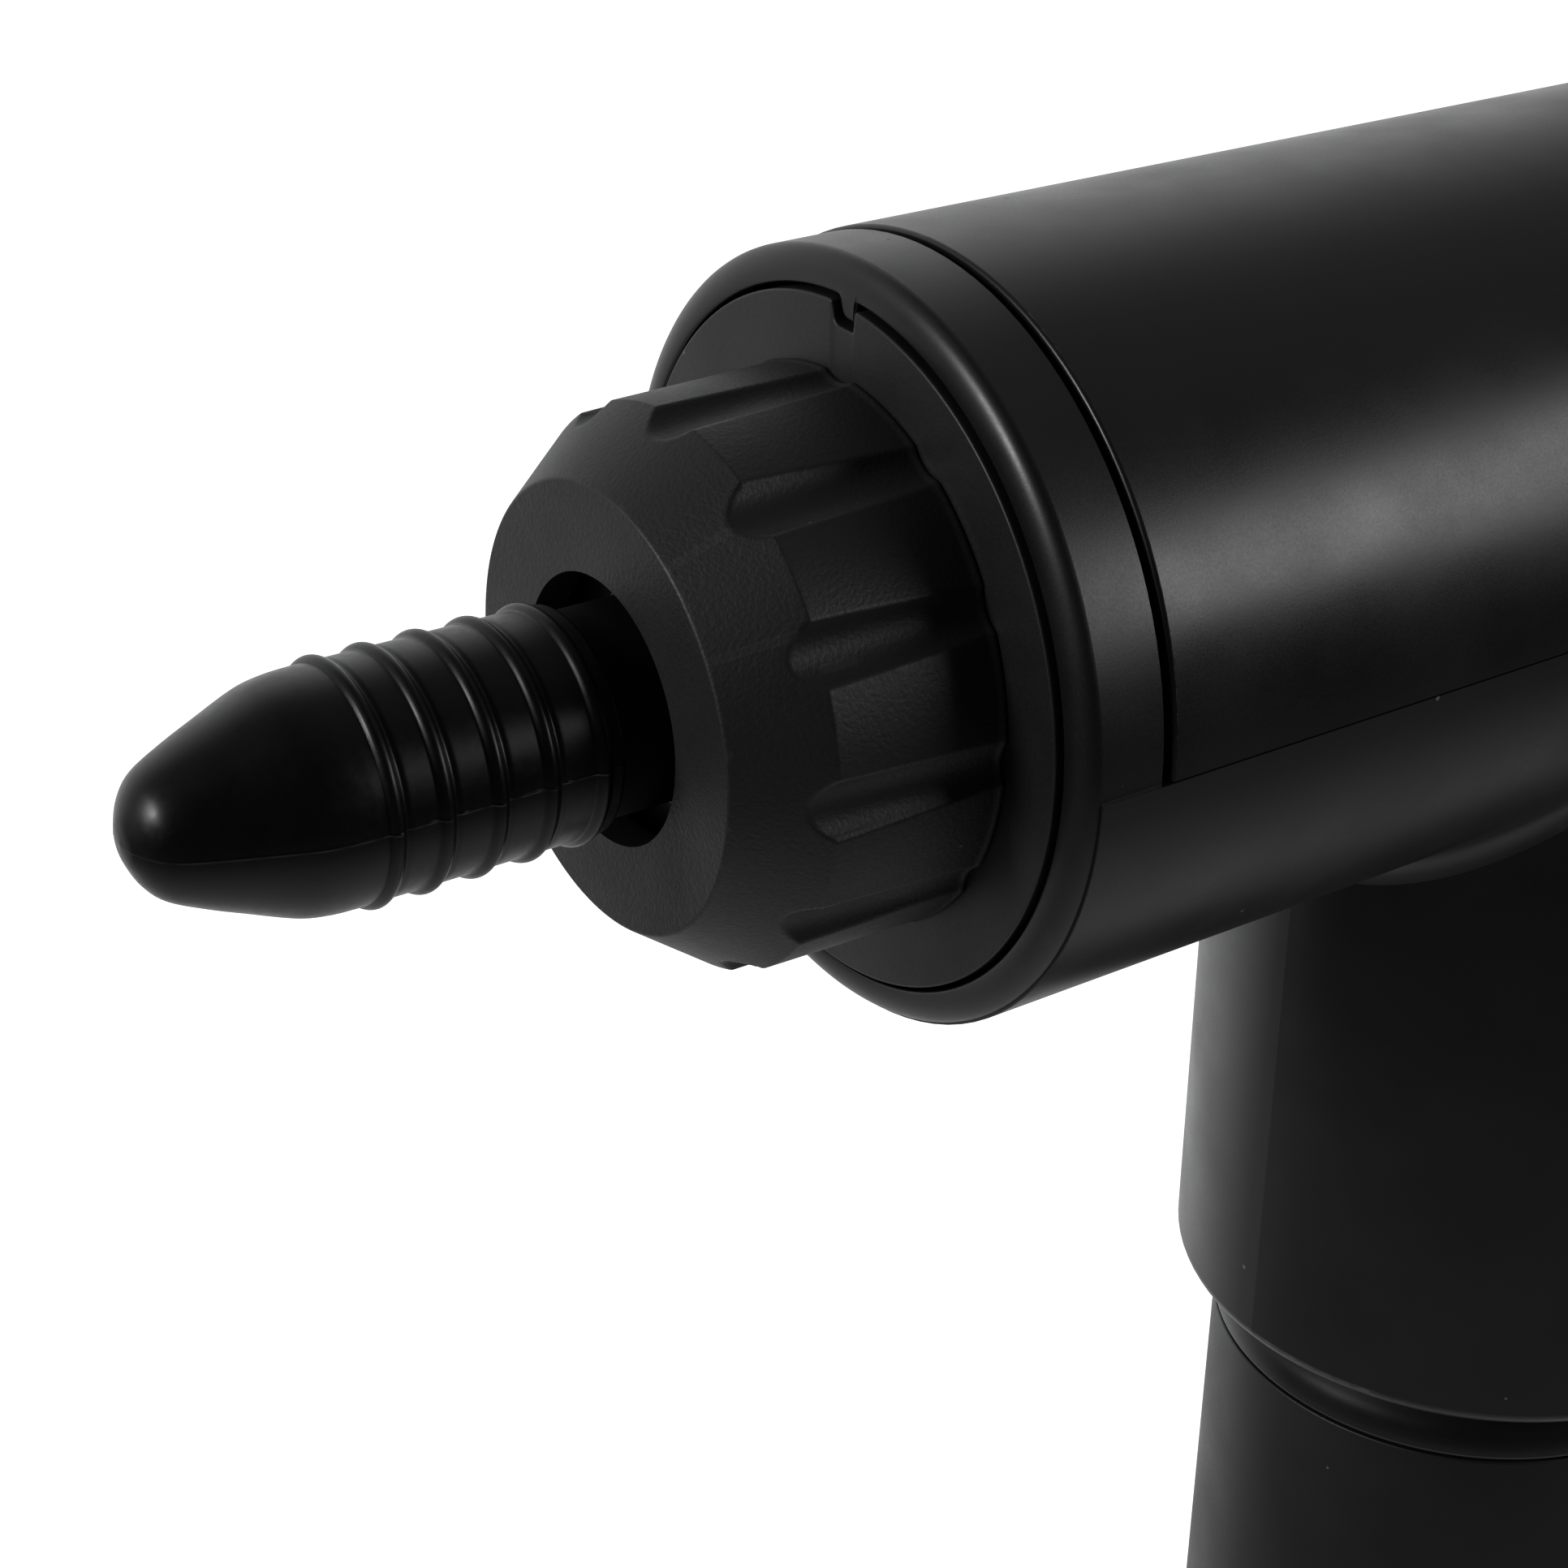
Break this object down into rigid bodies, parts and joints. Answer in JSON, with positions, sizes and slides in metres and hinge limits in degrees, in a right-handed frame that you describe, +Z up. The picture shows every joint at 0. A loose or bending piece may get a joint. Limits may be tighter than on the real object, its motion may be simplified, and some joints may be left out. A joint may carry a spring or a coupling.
{
  "type": "massage gun",
  "caption": "Pistol-shaped percussion massage gun with a bullet head in a fluted rubber collar, a cylindrical barrel, and a round handle that stands on its base.",
  "frame": {"origin": "centre of the flat rubber foot at the bottom of the handle, on the surface the gun stands on", "axes": "+Z up along the handle, +X forward along the barrel towards the bullet head, Y across"},
  "size_m": [0.1914, 0.064, 0.237],
  "materials": {
    "shell": "satin soft-touch moulded, fine",
    "cover": "satin soft-touch, smooth",
    "trim": "satin moulded",
    "plate": "matte fine-grained",
    "collar_rubber": "matte fine-grained",
    "head_rubber": "satin smooth with a mould line",
    "grip_rubber": "matte soft-touch",
    "foot_rubber": "matte",
    "core_plastic": "moulded, glass-filled",
    "lens": "polished",
    "display": "glossy panel",
    "buttons": "satin",
    "board": "solder mask",
    "steel": "machined",
    "screw_steel": "black oxide",
    "socket_metal": "plated",
    "nickel": "strip",
    "cell_wrap": "shrink-wrapped can",
    "frame_alloy": "die cast",
    "motor_alloy": "machined and anodised",
    "lamination": "stacked sheet",
    "copper": "enamelled winding",
    "magnet": "nickel-plated",
    "bronze": "oil-filled bush",
    "seal_rubber": "moulded",
    "led": "frosted light pipe"
  },
  "bodies": {
    "housing": {"lower_housing": "shell", "upper_housing": "trim", "top_cover": "cover", "rear_cap": "shell", "front_bezel": "trim", "front_plate": "plate", "nose_collar": "collar_rubber", "display_lens": "lens", "display_module": "display", "display_board": "board", "board_screws": "screw_steel", "button_domes": "nickel", "neck_ring": "trim", "grip_sleeve": "grip_rubber", "handle_core": "core_plastic", "core_screws": "screw_steel", "base_cap": "shell", "base_foot": "foot_rubber", "base_screws": "screw_steel", "rocker_frame": "trim", "charge_socket": "socket_metal", "charge_board": "board", "charge_led": "led", "battery_cells": "cell_wrap", "cell_holders": "core_plastic", "cell_tabs": "nickel", "battery_board": "board", "battery_spacer": "seal_rubber", "motor_base": "motor_alloy", "motor_bearings": "steel", "stator_core": "lamination", "stator_windings": "copper", "drive_frame": "frame_alloy", "damping_ring": "seal_rubber", "frame_screws": "screw_steel", "motor_screws": "screw_steel", "housing_screws": "screw_steel", "control_board": "board", "board_studs": "screw_steel", "guide_sleeve": "bronze"},
    "rotor": {"rotor_bell": "motor_alloy", "rotor_magnets": "magnet", "motor_shaft": "steel", "bearing_cores": "steel", "crank_wheel": "steel", "crank_pin": "steel"},
    "piston": {"piston": "frame_alloy", "piston_rings": "seal_rubber", "wrist_pin": "steel"},
    "rod": {"connecting_rod": "frame_alloy", "big_end_bearing": "steel", "small_end_bush": "bronze"},
    "head": {"bullet_head": "head_rubber", "head_shank": "core_plastic", "head_o_rings": "seal_rubber"},
    "power_button": {"power_button": "buttons"},
    "plus_button": {"plus_button": "buttons"},
    "minus_button": {"minus_button": "buttons"},
    "rocker": {"rocker_paddle": "buttons"}
  },
  "joints": [
    {"name": "motor_spin", "type": "hinge", "parent": "housing", "child": "rotor", "pos_m": [0, 0, 0.17], "axis": [0, 0, 1], "continuous": true},
    {"name": "piston_stroke", "type": "slide", "parent": "housing", "child": "piston", "axis": [1, 0, 0], "range_m": [-0.011, 0]},
    {"name": "rod_swing", "type": "hinge", "parent": "piston", "child": "rod", "pos_m": [0.0475, 0, 0.205], "axis": [0, 0, 1], "range_deg": [-7.52, 7.52]},
    {"name": "head_pull", "type": "slide", "parent": "piston", "child": "head", "axis": [1, 0, 0], "range_m": [0, 0.026]},
    {"name": "power_press", "type": "slide", "parent": "housing", "child": "power_button", "axis": [1, 0, 0], "range_m": [0, 0.0008], "stiffness_N_per_m": 900},
    {"name": "plus_press", "type": "slide", "parent": "housing", "child": "plus_button", "axis": [1, 0, 0], "range_m": [0, 0.0008], "stiffness_N_per_m": 900},
    {"name": "minus_press", "type": "slide", "parent": "housing", "child": "minus_button", "axis": [1, 0, 0], "range_m": [0, 0.0008], "stiffness_N_per_m": 900},
    {"name": "rocker_switch", "type": "hinge", "parent": "housing", "child": "rocker", "pos_m": [-0.007, 0, 0.0046], "axis": [1, 0, 0], "range_deg": [-12, 0]}
  ]
}
